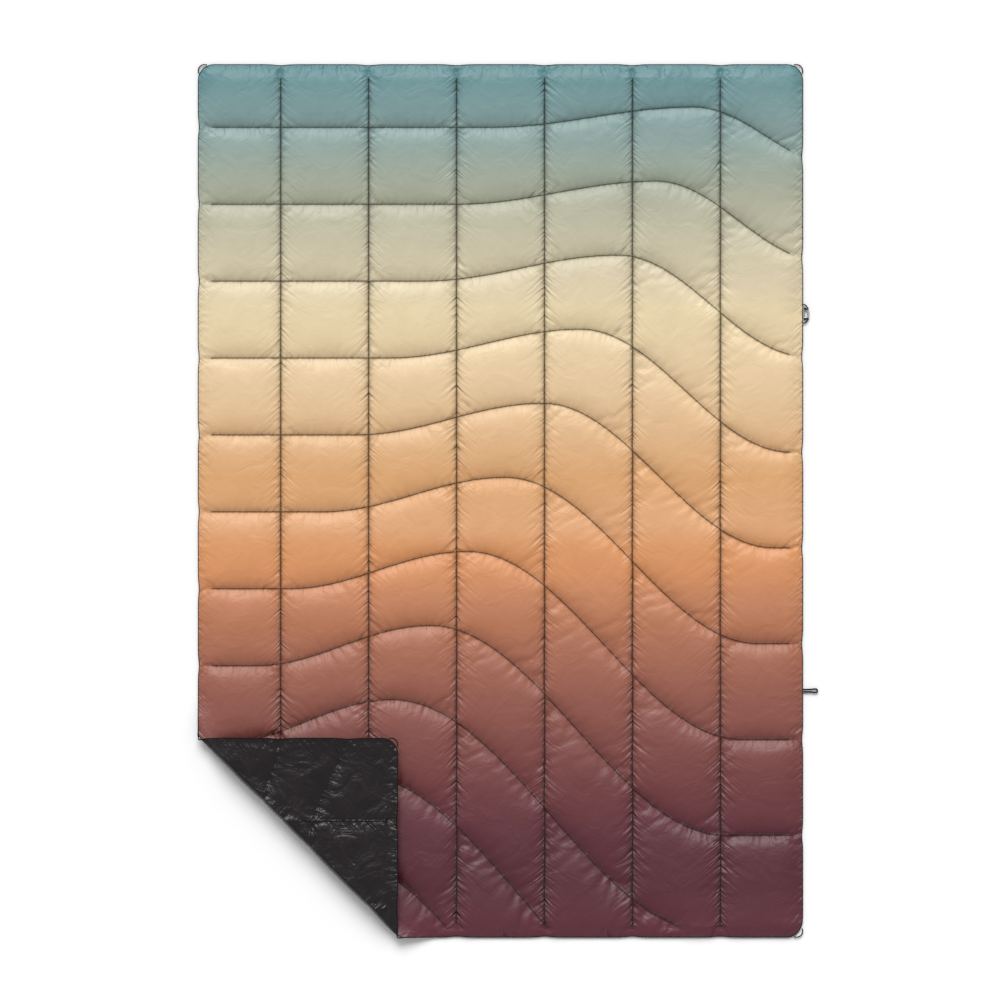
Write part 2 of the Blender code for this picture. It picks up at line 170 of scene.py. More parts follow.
# Strands that cross on the slant, as a braid's do
braid_group, braid_in, braid_out = new_group(
    "braid", {"Vector": None, "Pitch": 0.0011}, ["Height", "Shade"]
)
braid_nodes = braid_group.nodes
braid_parts = node(braid_nodes, "SeparateXYZ")
link(braid_nodes, braid_in.outputs["Vector"], braid_parts.inputs[0])
per_turn = maths(braid_nodes, "DIVIDE", 2 * pi, braid_in.outputs["Pitch"])
along_sum = maths(braid_nodes, "ADD", braid_parts.outputs[0], braid_parts.outputs[1])
along_gap = maths(braid_nodes, "SUBTRACT", braid_parts.outputs[0], braid_parts.outputs[1])
slant_up = maths(braid_nodes, "ADD", along_sum, braid_parts.outputs[2])
slant_down = maths(braid_nodes, "SUBTRACT", along_gap, braid_parts.outputs[2])
strand_a = maths(braid_nodes, "SINE", maths(braid_nodes, "MULTIPLY", slant_up, per_turn))
strand_b = maths(braid_nodes, "SINE", maths(braid_nodes, "MULTIPLY", slant_down, per_turn))
crossing = maths(braid_nodes, "MULTIPLY", strand_a, strand_b)
link(braid_nodes, crossing, braid_out.inputs["Height"])
strand_shade = maths(braid_nodes, "MULTIPLY_ADD", crossing, 0.5)
strand_shade.node.inputs[2].default_value = 0.5
link(braid_nodes, strand_shade, braid_out.inputs["Shade"])


def cord_finish(name, dark, light, pitch):
    made, nodes, shader = new_material(name, 0.68, Specular_IOR_Level=0.15)
    place = node(nodes, "TexCoord").outputs["Object"]
    braid = use_group(nodes, braid_group, place, Pitch=pitch)
    link(nodes, mixed_colour(nodes, braid.outputs["Shade"], dark, light), shader.inputs["Base Color"])
    link(nodes, bump(nodes, braid.outputs["Height"], 0.00018), shader.inputs["Normal"])
    return made


black_braid = cord_finish("black_braided_cord", (0.004, 0.004, 0.0045), (0.014, 0.013, 0.014), 0.0011)
cape_braid = cord_finish("cape_loop_cord", (0.004, 0.004, 0.0045), (0.014, 0.013, 0.0135), 0.0014)


def smooth_route(points, steps=4):
    """Points along a smooth curve through the route's own points."""
    points = [Vector(point) for point in points]
    ends = [2 * points[0] - points[1], *points, 2 * points[-1] - points[-2]]
    made = []
    for before, start, end, after in zip(ends, ends[1:], ends[2:], ends[3:]):
        for step in range(steps):
            t = step / steps
            made.append(
                0.5 * (2 * start + (end - before) * t + (2 * before - 5 * start + 4 * end - after) * t**2
                       + (3 * start - before - 3 * end + after) * t**3)
            )
    return made + [points[-1]]


def add_to_scene(name, data, finish=None):
    made = bpy.data.objects.new(name, data)
    bpy.context.scene.collection.objects.link(made)
    if finish:
        data.materials.append(finish)
    return made


def drawn_cord(name, points, diameter, finish):
    """A round cord along a line of points, with closed ends."""
    curve = bpy.data.curves.new(name, "CURVE")
    curve.dimensions = "3D"
    curve.bevel_depth = diameter / 2
    curve.bevel_resolution = 4
    curve.use_fill_caps = True
    spline = curve.splines.new("POLY")
    spline.points.add(len(points) - 1)
    for slot, point in zip(spline.points, points):
        slot.co = (*point, 1)
    return add_to_scene(name, curve, finish)


def corner_centre(across, along):
    return Vector((across * (WIDTH / 2 - CORNER_RADIUS), along * (LENGTH / 2 - CORNER_RADIUS), EDGE_HEIGHT))


def corner_loop_route(across, along):
    route = []
    for degrees, stand_off in LOOP_ROUTE:
        reach = CORNER_RADIUS + CLEARANCE + LOOP_CORD / 2 + stand_off
        a = radians(degrees)
        route.append(corner_centre(across, along) + reach * Vector((across * cos(a), along * sin(a), 0)))
    return smooth_route(route)


def declare_cord(piece, body, solid):
    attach(piece, body)
    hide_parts(solid)


for loop_name, across, along in (("head_left", -1, 1), ("head_right", 1, 1), ("foot_right", 1, -1)):
    route = corner_loop_route(across, along)
    loop = drawn_cord(f"corner_loop_{loop_name}", route, LOOP_CORD, black_braid)
    declare_cord(loop, "quilt", f"loop_{loop_name}")
turned_route = [FOLDED_OVER @ point for point in corner_loop_route(-1, -1)]
turned_loop = drawn_cord("corner_loop_foot_left", turned_route, LOOP_CORD, black_braid)
declare_cord(turned_loop, "corner", "loop_foot_left")

cape_route = smooth_route(
    [Vector((WIDTH / 2 + out, CAPE_LOOP_Y + along, EDGE_HEIGHT)) for out, along in CAPE_LOOP_ROUTE]
)
cape_loop = drawn_cord("cape_cord_loop", cape_route, CAPE_CORD, cape_braid)
declare_cord(cape_loop, "quilt", "cape_loop")

# Cape clip
# A small C-shaped clip of bead-blasted, anodised metal with a sprung gate on a steel pin, threaded on a
# short cord whose two ends are sewn into the right edge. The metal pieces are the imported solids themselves.
CLIP_Y = 0.408
CLIP_BARE_HALF = 0.0085  # the bare metal reaches this far from the clip's middle, both ways
BLAST_GRAIN, STEEL_GRAIN = 2600, 3200
CLIP_CORD_ROUTE = (
    (0.0003, 0.0205), (0.0026, 0.0203), (0.0052, 0.0190), (0.0076, 0.0167), (0.0094, 0.0142),
    (0.0105, 0.0122), (0.0109, 0.0106), (0.0109, 0.0050), (0.0109, 0.0), (0.0109, -0.0050),
    (0.0109, -0.0106), (0.0105, -0.0122), (0.0094, -0.0142), (0.0076, -0.0167), (0.0052, -0.0190),
    (0.0026, -0.0203), (0.0003, -0.0205),
)


def metal_finish(name, colour, worn, roughness, grain):
    """Fine blasted metal: a speckle in the roughness and relief, with the colour rubbed on its edges."""
    made, nodes, shader = new_material(name, roughness, Metallic=1.0)
    place = node(nodes, "TexCoord").outputs["Object"]
    speckle = node(nodes, "TexNoise")
    speckle.inputs["Scale"].default_value = grain
    speckle.inputs["Detail"].default_value = 3
    link(nodes, place, speckle.inputs["Vector"])
    rubbed = node(nodes, "NewGeometry").outputs["Pointiness"]
    edge = maths(nodes, "MULTIPLY", maths(nodes, "SUBTRACT", rubbed, 0.53, clamp=True), 9.0, clamp=True)
    patchy = maths(nodes, "MULTIPLY", edge, speckle.outputs["Fac"])
    bare = mixed_colour(nodes, patchy, colour, worn)
    # The two ends, where the cord runs in, are dipped black
    parts = node(nodes, "SeparateXYZ")
    link(nodes, place, parts.inputs[0])
    off_centre = maths(nodes, "ABSOLUTE", maths(nodes, "SUBTRACT", parts.outputs[1], CLIP_Y))
    past_bare = maths(nodes, "SUBTRACT", off_centre, CLIP_BARE_HALF)
    dipped = maths(nodes, "MULTIPLY", past_bare, 1500.0, clamp=True)
    link(nodes, mixed_colour(nodes, dipped, bare, (0.010, 0.010, 0.011)), shader.inputs["Base Color"])
    gloss = node(nodes, "MapRange")
    gloss.inputs["To Min"].default_value = roughness - 0.08
    gloss.inputs["To Max"].default_value = roughness + 0.10
    link(nodes, speckle.outputs["Fac"], gloss.inputs["Value"])
    link(nodes, gloss.outputs[0], shader.inputs["Roughness"])
    link(nodes, bump(nodes, speckle.outputs["Fac"], 0.00003, 0.5), shader.inputs["Normal"])
    return made


anodised = metal_finish("grey_anodised_metal", (0.46, 0.48, 0.47), (0.78, 0.78, 0.77), 0.40, BLAST_GRAIN)
gate_metal = metal_finish("dark_anodised_metal", (0.20, 0.19, 0.21), (0.60, 0.60, 0.60), 0.36, BLAST_GRAIN)
pin_metal = metal_finish("bright_steel", (0.62, 0.61, 0.59), (0.80, 0.80, 0.80), 0.26, STEEL_GRAIN)
for solid, finish in (("clip_body", anodised), ("clip_gate", gate_metal), ("clip_gate_pin", pin_metal)):
    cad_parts[solid].data.materials.clear()
    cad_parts[solid].data.materials.append(finish)

clip_route = smooth_route(
    [Vector((WIDTH / 2 + out, CLIP_Y + along, EDGE_HEIGHT)) for out, along in CLIP_CORD_ROUTE]
)
clip_cord = drawn_cord("clip_hang_cord", clip_route, LOOP_CORD, black_braid)
declare_cord(
    clip_cord, "clip", "clip_cord",
)

# Quilt skins
# Two skins of light, calendered nylon taffeta round a fibre filling, stitched through in columns and wave
# rows: printed on top, black behind. Each is cut with spare cloth, held on its stitch lines and blown up,
# so that it puffs and gathers as the filled cells do. The lower left corner is then turned over.
MARGIN = 0.030
SEAM_TOP = 0.0095
SEAM_BACK = 0.0080
EDGE_TOP = 0.00475
EDGE_BACK = 0.00325
LOFT = 0.0259
EDGE_TAPER = 0.045
PUFF_REACH = 0.070
SHELL_INSET = 0.0020
COLUMNS, ROWS, COLUMN_PITCH = 6, 11, 0.1917
RISE_START = (-0.0233, -0.0730)
CREST_X = (0.4217, -0.0822)
TROUGH_X = (0.7364, -0.0350)
FLAT_DROP = (0.1376, 0.1677)
CREST_DROP = (0.0934, 0.1615)
TROUGH_DROP = (0.2194, 0.2088)
FREE_PUFF = 0.024  # how high a cell's cloth rises off its seams when nothing presses on it
TOP_RISE_LIMIT = 0.0200  # the filling holds the top skin down to about this rise
LOOSE_RISE_LIMIT = 0.0125
DEEPEST_DIP = 0.0012
GROUND_REACH = 0.0045  # the back skin meets the ground where its free rise is about this much
GROUND_GAP = 0.0002
SKIN_INSET = 0.0012  # the skins' edges lie this far inside the piping's outer side
GATHER_REACH = 0.018
MARGIN_REACH = 0.045
COLUMN_CREASE_REACH, ROW_CREASE_REACH = 0.022, 0.015
SIDE_CREASE_REACH, END_CREASE_REACH = 0.020, 0.018
PUCKER_REACH = 0.014
EDGE_CREASE_SHARE = 0.75
CLIP_DIP_SHARE, CLIP_DIP_HALF, CLIP_DIP_REACH = 0.75, 0.034, 0.050
FOLD_ROLL = 0.010  # the skins stop this far from the fold line, and the rolled strips join them
FOLD_ENDS = tuple(FOLD_POINT.xy + FOLD_AXIS.xy * way * FOLD_LEG / 2**0.5 for way in (-1, 1))
FOLD_LIFT_REACH = 0.090
GATHER_PULL = 0.0022  # how far a seam's end draws the edge in
SIM_SCALE = 20  # the cloth is simulated this many times its size
MAIN, CORNER = 1, -1


def eased(start, end, share):
    return start + (end - start) * (1 - np.cos(pi * np.clip(share, 0, 1))) / 2


def stitch_column(number):
    return (number - (COLUMNS - 1) / 2) * COLUMN_PITCH


def wave_row(number, x):
    """y of a wave row at x: flat from the left, an eased rise to the crest, then an eased drop."""
    rise, crest, trough = (first + number * step for first, step in (RISE_START, CREST_X, TROUGH_X))
    flat_y, crest_y, trough_y = (
        LENGTH / 2 - first - number * step for first, step in (FLAT_DROP, CREST_DROP, TROUGH_DROP)
    )
    x = np.asarray(x, float)
    rising = eased(flat_y, crest_y, (x - rise) / (crest - rise))
    return np.where(x < crest, rising, eased(crest_y, trough_y, (x - crest) / (trough - crest)))


def edge_distance(x, y):
    across = np.abs(x) - WIDTH / 2 + CORNER_RADIUS
    along = np.abs(y) - LENGTH / 2 + CORNER_RADIUS
    return CORNER_RADIUS - np.hypot(np.maximum(across, 0), np.maximum(along, 0)) - np.minimum(
        np.maximum(across, along), 0
    )


def seam_distances(x, y):
    to_column = np.min([np.abs(x - stitch_column(n)) for n in range(COLUMNS)], axis=0)
    to_row = np.min([np.abs(y - wave_row(n, x)) for n in range(ROWS)], axis=0)
    return to_column, to_row


def crease_runs(x, y):
    """What stays the same along a crease: creases slope down from the columns and leave the rows square."""
    to_column = np.minimum(seam_distances(x, y)[0], WIDTH / 2 - np.abs(x))
    gaps = np.array([y - wave_row(n, x) for n in range(ROWS)])
    slopes = np.array([(wave_row(n, x + 0.002) - wave_row(n, x - 0.002)) / 0.004 for n in range(ROWS)])
    nearest = np.argmin(np.abs(gaps), axis=0)[None]
    gap, slope = (np.take_along_axis(values, nearest, axis=0)[0] for values in (gaps, slopes))
    return y + 0.75 * to_column, x + slope * gap / (1 + slope**2)


def smooth(share):
    share = np.clip(share, 0, 1)
    return share * share * (3 - 2 * share)


def puff(distance, reach):
    share = np.clip(distance / reach, 0, 1)
    return np.sqrt(share * (2 - share))


def seam_height(x, y, edge, seam):
    return edge + (seam - edge) * puff(edge_distance(x, y) - SHELL_INSET, EDGE_TAPER)


def drawn_puff(x, y):
    """A cell's rise over its seams without the simulation."""
    to_column, to_row = seam_distances(x, y)
    inside = edge_distance(x, y)
    quilted = np.clip(inside / MARGIN, 0, 1)
    crown = 1 - (1 - puff(to_column, PUFF_REACH) * puff(to_row, PUFF_REACH)) * quilted
    return FREE_PUFF * crown * puff(inside - SHELL_INSET, EDGE_TAPER)


def top_height(x, y, rise):
    low = seam_height(x, y, EDGE_TOP, SEAM_TOP)
    # Bar tacks hold the edge down beside the clip, which leaves it room to swing up
    beside = np.exp(-(((y - CLIP_Y) / CLIP_DIP_HALF) ** 2)) * smooth(1 - (WIDTH / 2 - x) / CLIP_DIP_REACH)
    rise = rise * (1 - CLIP_DIP_SHARE * beside)
    pressed = rise / np.sqrt(1 + (np.maximum(rise, 0) / TOP_RISE_LIMIT) ** 2)
    return np.clip(low + pressed, low - DEEPEST_DIP, LOFT)


def ground_back_height(x, y, rise):
    """The back skin of the flat part, pressed on the ground."""
    low = seam_height(x, y, EDGE_BACK, SEAM_BACK)
    return low * np.exp(-np.maximum(rise, 0) / GROUND_REACH) + GROUND_GAP


def loose_back_height(x, y, rise):
    """The back skin of the turned corner, free to puff."""
    low = seam_height(x, y, EDGE_BACK, SEAM_BACK)
    return low - rise / np.sqrt(1 + (np.maximum(rise, 0) / LOOSE_RISE_LIMIT) ** 2)


def fold_side(x, y):
    """Distance from the fold line, positive on the main side."""
    return (x - FOLD_POINT.x) * FOLD_INWARD.x + (y - FOLD_POINT.y) * FOLD_INWARD.y


def fold_settled(x, y, z, layer_height, at_fold):
    """Heights near the fold: one profile along it for both sides, lifted to the axis at the fold's ends."""
    side = fold_side(x, y)
    line_x, line_y = x - side * FOLD_INWARD.x, y - side * FOLD_INWARD.y
    on_line = layer_height(line_x, line_y, drawn_puff(line_x, line_y))
    z = z + (on_line - z) * smooth(1 - (np.abs(side) - FOLD_ROLL) / 0.030)
    reach = np.min([np.hypot(x - end.x, y - end.y) for end in FOLD_ENDS], axis=0)
    return z + (at_fold - z) * smooth(1 - reach / FOLD_LIFT_REACH)


def gathered(x, y, inset=SKIN_INSET):
    """A flat point's place once the seams' ends draw the edge in and the skins stop inside the piping."""
    to_column, to_row = seam_distances(x, y)
    near_side = smooth(1 - (WIDTH / 2 - np.abs(x)) / MARGIN_REACH)
    near_end = smooth(1 - (LENGTH / 2 - np.abs(y)) / MARGIN_REACH)
    x_pull = near_side * (inset + GATHER_PULL * np.exp(-((to_row / GATHER_REACH) ** 2)))
    y_pull = near_end * (inset + GATHER_PULL * np.exp(-((to_column / GATHER_REACH) ** 2)))
    return x - np.sign(x) * x_pull, y - np.sign(y) * y_pull


def cell_stops(step):
    """Mesh columns, and for each mesh row the stitch rows that it lies between and its share."""
    stops = [-WIDTH / 2, MARGIN - WIDTH / 2]
    stops += [stitch_column(n) for n in range(COLUMNS)]
    stops += [WIDTH / 2 - MARGIN, WIDTH / 2]
    columns = [stops[0]]
    for low, high in zip(stops, stops[1:]):
        count = round((high - low) / step)
        columns += [low + (high - low) * share / count for share in range(1, count + 1)]
    rows = [(0, 0.0)]
    gaps = [MARGIN, 0.135] + [0.172] * (ROWS + 2)
    for band, gap in enumerate(gaps):
        count = round(gap / step)
        rows += [(band, share / count) for share in range(1, count + 1)]
    return np.array(columns), rows


def flat_cut(step, corner_only):
    """The blanket's plan as a flat mesh whose edges follow the stitch lines."""
    columns, rows = cell_stops(step)
    bands = [np.full_like(columns, LENGTH / 2), np.full_like(columns, LENGTH / 2 - MARGIN)]
    bands += [wave_row(n, columns) for n in range(ROWS + 3)]
    bm = bmesh.new()
    across, along = len(columns) - 1, len(rows) - 1
    bmesh.ops.create_grid(bm, x_segments=across, y_segments=along, size=0.5)
    for vert in bm.verts:
        column = round((vert.co.x + 0.5) * across)
        band, share = rows[round((0.5 - vert.co.y) * along)]
        low, high = bands[band][column], bands[band + 1][column]
        vert.co = (columns[column], low + (high - low) * share, 0)
    planes = [(Vector((0, -LENGTH / 2, 0)), Vector((0, -1, 0)), None)]
    if corner_only:
        planes.insert(0, (FOLD_POINT + FOLD_INWARD * 0.045, FOLD_INWARD, None))
    for side_x in (-1, 1):
        for side_y in (-1, 1):
            for facet in range(1, 8):
                a = facet * pi / 16
                outward = Vector((side_x * cos(a), side_y * sin(a), 0))
                centre = corner_centre(side_x, side_y)
                planes.append((centre + outward * CORNER_RADIUS, outward, centre))
    for point, outward, centre in planes:
        faces = bm.faces[:]
        if centre:
            faces = [f for f in faces if (f.calc_center_median() - centre).xy.length < 3 * CORNER_RADIUS]
        # Kept in order, so that the cut comes out the same each time
        near = dict.fromkeys(item for face in faces for item in (*face.verts, *face.edges, face))
        bmesh.ops.bisect_plane(
            bm, geom=list(near), dist=1e-6, plane_co=(point.x, point.y, 0), plane_no=outward,
            clear_outer=True,
        )
    boundary = np.array([vert.is_boundary for vert in bm.verts])
    mesh = bpy.data.meshes.new("flat_cut")
    bm.to_mesh(mesh)
    bm.free()
    return mesh, boundary


def coordinates(mesh):
    places = np.empty(len(mesh.vertices) * 3)
    mesh.vertices.foreach_get("co", places)
    return places.reshape(-1, 3)


def blown_up(mesh, boundary, seed, spare, pressure, frames):
    """The flat cut with spare cloth, held on its stitch lines and blown up: each point's place and rise."""
    x, y = coordinates(mesh)[:, :2].T
    to_column, to_row = seam_distances(x, y)
    inside = edge_distance(x, y)
    held = boundary | ((inside > MARGIN - 1e-4) & ((to_column < 1e-5) | (to_row < 1e-5)))
    low = seam_height(x, y, EDGE_TOP, SEAM_TOP)
    uneven = np.random.default_rng(seed).uniform(-0.0004, 0.0004, len(x))
    start = low + np.where(held, 0, 0.18 * drawn_puff(x, y) + uneven)
    scaled = np.stack([x, y, start], axis=1) * SIM_SCALE
    cloth_mesh = mesh.copy()
    cloth_mesh.vertices.foreach_set("co", scaled.ravel())
    cloth = add_to_scene("cloth", cloth_mesh)
    cloth.vertex_groups.new(name="held").add(np.flatnonzero(held).tolist(), 1.0, "REPLACE")
    modifier = cloth.modifiers.new("cloth", "CLOTH")
    settings = modifier.settings
    settings.quality = 5
    settings.mass = 0.3
    settings.tension_stiffness = settings.compression_stiffness = 40
    settings.shear_stiffness = 10
    settings.bending_stiffness = 0.005
    settings.tension_damping = settings.compression_damping = settings.shear_damping = 5
    settings.bending_damping = 0.5
    settings.air_damping = 1
    settings.vertex_group_mass = "held"
    settings.shrink_min = settings.shrink_max = -spare
    settings.use_pressure = True
    settings.uniform_pressure_force = pressure
    settings.effector_weights.gravity = 0
    modifier.collision_settings.use_collision = False
    modifier.collision_settings.use_self_collision = False
    modifier.point_cache.frame_start = 1
    modifier.point_cache.frame_end = frames
    scene = bpy.context.scene
    for frame_number in range(1, frames + 1):
        scene.frame_set(frame_number)
    graph = bpy.context.evaluated_depsgraph_get()
    blown = bpy.data.meshes.new_from_object(cloth.evaluated_get(graph))
    places = coordinates(blown) / SIM_SCALE
    bpy.data.objects.remove(cloth)
    bpy.data.meshes.remove(cloth_mesh)
    bpy.data.meshes.remove(blown)
    scene.frame_set(1)
    # The outline stays where it was cut, and no point wanders further than a wrinkle would take it
    drift = np.clip(places[:, :2] - np.stack([x, y], axis=1), -0.006, 0.006)
    drift *= smooth(inside / 0.012)[:, None]
    return x + drift[:, 0], y + drift[:, 1], places[:, 2] - low


def laid_skin(name, mesh, blown, layer_height, at_fold, side, faces_up, finish):
    """The skin as a finished piece, turned over with the corner where it lies on that side."""
    raised = mesh.copy()
    flat = coordinates(mesh)
    lift = raised.attributes.new("lift", "FLOAT_VECTOR", "POINT")
    flat_x, flat_y = flat[:, 0], flat[:, 1]
    x, y, rise = blown
    z = fold_settled(flat_x, flat_y, layer_height(flat_x, flat_y, rise), layer_height, at_fold)
    near_fold = smooth(1 - (np.abs(fold_side(flat_x, flat_y)) - FOLD_ROLL) / 0.020)
    pull_x, pull_y = gathered(flat_x, flat_y)
    shift = np.stack([pull_x - flat_x + (x - flat_x) * (1 - near_fold),
                      pull_y - flat_y + (y - flat_y) * (1 - near_fold), z], axis=1)
    lift.data.foreach_set("vector", shift.ravel())
    uv = raised.uv_layers.new(name="OFBake")
    corners = np.empty(len(raised.loops), dtype=np.int32)
    raised.loops.foreach_get("vertex_index", corners)
    flat_uv = np.stack([flat_x + WIDTH / 2, flat_y + LENGTH / 2], axis=1) / LENGTH
    uv.data.foreach_set("uv", flat_uv[corners].ravel())
    to_column, to_row = seam_distances(flat_x, flat_y)
    inside = edge_distance(flat_x, flat_y)
    stitched = smooth((inside - 0.5 * MARGIN) / (0.5 * MARGIN))
    masks = {
        "by_column": np.maximum(
            np.exp(-to_column / COLUMN_CREASE_REACH) * stitched,
            EDGE_CREASE_SHARE * np.exp(-(WIDTH / 2 - np.abs(flat_x)) / SIDE_CREASE_REACH),
        ),
        "by_row": np.maximum(
            np.exp(-to_row / ROW_CREASE_REACH) * stitched,
            EDGE_CREASE_SHARE * np.exp(-(LENGTH / 2 - np.abs(flat_y)) / END_CREASE_REACH),
        ),
        "by_edge": np.exp(-np.maximum(inside, 0) / PUCKER_REACH),
    }
    masks["column_run"], masks["row_run"] = crease_runs(flat_x, flat_y)
    for mask, values in masks.items():
        raised.attributes.new(mask, "FLOAT", "POINT").data.foreach_set("value", values)
    bm = bmesh.new()
    bm.from_mesh(raised)
    bmesh.ops.bisect_plane(
        bm, geom=bm.verts[:] + bm.edges[:] + bm.faces[:], dist=1e-6,
        plane_co=(FOLD_POINT + FOLD_INWARD * side * FOLD_ROLL) * Vector((1, 1, 0)),
        plane_no=-side * FOLD_INWARD, clear_outer=True,
    )
    shifts = bm.verts.layers.float_vector["lift"]
    for vert in bm.verts:
        vert.co += vert[shifts]
    bm.verts.layers.float_vector.remove(shifts)
    if not faces_up:
        bmesh.ops.reverse_faces(bm, faces=bm.faces[:])
    if side == CORNER:
        bmesh.ops.transform(bm, matrix=FOLDED_OVER, verts=bm.verts[:])
    bm.to_mesh(raised)
    bm.free()
    raised.name = name
    raised.shade_smooth()
    return add_to_scene(name, raised, finish)


# Woven taffeta: fine threads over and under, with a slub here and there
weave_group, weave_in, weave_out = new_group(
    "taffeta_weave", {"Vector": None, "Threads": 900.0}, ["Height"]
)
weave_nodes = weave_group.nodes
weave_parts = node(weave_nodes, "SeparateXYZ")
link(weave_nodes, weave_in.outputs["Vector"], weave_parts.inputs[0])
warp, weft = (
    maths(weave_nodes, "SINE", maths(weave_nodes, "MULTIPLY", weave_parts.outputs[axis],
                                     maths(weave_nodes, "MULTIPLY", weave_in.outputs["Threads"], 2 * pi)))
    for axis in (0, 1)
)
link(weave_nodes, maths(weave_nodes, "MULTIPLY", warp, weft), weave_out.inputs["Height"])

# Gathers: short creases that run away from a stitch line, and a slack crumple between them
GATHER_INPUTS = {"By column": "by_column", "By row": "by_row", "By edge": "by_edge",
                 "Column run": "column_run", "Row run": "row_run"}
gather_sockets = {"Vector": None, **{label: 0.0 for label in GATHER_INPUTS}}
gather_group, gather_in, gather_out = new_group(
    "seam_gathers", gather_sockets, ["Height", "Crumple", "Seam"]
)
gather_nodes = gather_group.nodes
gather_place = node(gather_nodes, "SeparateXYZ")
link(gather_nodes, gather_in.outputs["Vector"], gather_place.inputs[0])


def noise_of(vector, scale, detail, distortion):
    noise = node(gather_nodes, "TexNoise")
    noise.inputs["Scale"].default_value = scale
    noise.inputs["Detail"].default_value = detail
    noise.inputs["Roughness"].default_value = 0.55
    noise.inputs["Distortion"].default_value = distortion
    link(gather_nodes, vector, noise.inputs["Vector"])
    return noise.outputs["Fac"]


def creases(run, along, per_metre, along_scale):
    """Sharp creases spaced along a seam, drawn out away from it."""
    place = node(gather_nodes, "CombineXYZ")
    link(gather_nodes, maths(gather_nodes, "MULTIPLY", run, per_metre), place.inputs[0])
    link(gather_nodes, maths(gather_nodes, "MULTIPLY", along, along_scale), place.inputs[1])
    wave = noise_of(place.outputs[0], 1.0, 0.8, 0.4)
    doubled = maths(gather_nodes, "MULTIPLY", maths(gather_nodes, "SUBTRACT", wave, 0.5), 2.0)
    return maths(gather_nodes, "SUBTRACT", 1.0, maths(gather_nodes, "ABSOLUTE", doubled))


column_creases = creases(gather_in.outputs["Column run"], gather_place.outputs[0], 62, 22)
row_creases = creases(gather_in.outputs["Row run"], gather_place.outputs[1], 52, 22)
slack = noise_of(gather_in.outputs["Vector"], 40, 4.0, 0.9)
edge_pucker = maths(gather_nodes, "MULTIPLY", noise_of(gather_in.outputs["Vector"], 110, 1.5, 0.6), 0.6)
# Creases run further out from a column in some places than in others
patches = noise_of(gather_in.outputs["Vector"], 17, 1.0, 0.0)
over_low = maths(gather_nodes, "SUBTRACT", patches, 0.30, clamp=True)
long_here = maths(gather_nodes, "MULTIPLY", over_low, 3.2, clamp=True)
fall_off = maths(gather_nodes, "SUBTRACT", 2.1, long_here)
near_column = maths(gather_nodes, "POWER", gather_in.outputs["By column"], fall_off)
column_part = maths(gather_nodes, "MULTIPLY", column_creases, near_column)
row_part = maths(gather_nodes, "MULTIPLY", row_creases, gather_in.outputs["By row"])
edge_part = maths(gather_nodes, "MULTIPLY", edge_pucker, gather_in.outputs["By edge"])
seam_part = maths(gather_nodes, "MULTIPLY_ADD", row_part, 0.5)
link(gather_nodes, column_part, seam_part.node.inputs[2])
link(gather_nodes, maths(gather_nodes, "ADD", seam_part, edge_part), gather_out.inputs["Height"])
link(gather_nodes, slack, gather_out.inputs["Crumple"])
# Where shade is painted on the print: close along the stitch lines, and a little along the edges
at_seam = maths(gather_nodes, "MAXIMUM", gather_in.outputs["By column"], gather_in.outputs["By row"])
link(gather_nodes, maths(gather_nodes, "POWER", at_seam, 6.0), gather_out.inputs["Seam"])


def shell_finish(name, roughness, gather_depth, crumple_depth, colours, **values):
    """Calendered nylon; colours(nodes, uv parts, gathers) returns the base colour's socket."""
    made, nodes, shader = new_material(name, roughness, **values)
    cut_place = node(nodes, "UVMap", uv_map="OFBake").outputs[0]
    gathers = use_group(nodes, gather_group, cut_place)
    for label, mask in GATHER_INPUTS.items():
        source = node(nodes, "Attribute", attribute_name=mask)
        link(nodes, source.outputs["Fac"], gathers.inputs[label])
    weave = use_group(nodes, weave_group, cut_place)
    link(nodes, colours(nodes, cut_place, gathers), shader.inputs["Base Color"])
    soft = maths(nodes, "MULTIPLY_ADD", gathers.outputs["Crumple"], 0.16)
    soft.node.inputs[2].default_value = roughness - 0.08
    link(nodes, soft, shader.inputs["Roughness"])
    relief = bump(nodes, gathers.outputs["Crumple"], crumple_depth)
    relief = bump(nodes, gathers.outputs["Height"], gather_depth, below=relief)
    relief = bump(nodes, weave.outputs["Height"], 0.00002, 0.5, below=relief)
    link(nodes, relief, shader.inputs["Normal"])
    return made


# The print's colours down the blanket: metres from the head edge, and sRGB
PRINT = (
    (0.010, 77, 125, 130), (0.063, 110, 145, 148), (0.168, 136, 158, 153),
    (0.273, 163, 168, 149), (0.378, 193, 187, 161), (0.483, 215, 200, 168),
    (0.535, 225, 207, 168), (0.640, 225, 200, 161), (0.700, 226, 196, 155),
    (0.797, 220, 180, 136), (0.902, 215, 162, 110), (1.007, 219, 164, 119),
    (1.060, 214, 148, 97), (1.112, 208, 140, 93), (1.164, 193, 129, 92),
    (1.217, 177, 113, 80), (1.269, 166, 104, 79), (1.374, 143, 84, 70),
    (1.479, 123, 67, 62), (1.584, 104, 48, 51), (1.689, 87, 34, 47),
    (1.794, 81, 29, 41), (1.898, 95, 39, 53),
)


def linear(channel):
    share = channel / 255
    return share / 12.92 if share <= 0.04045 else ((share + 0.055) / 1.055) ** 2.4


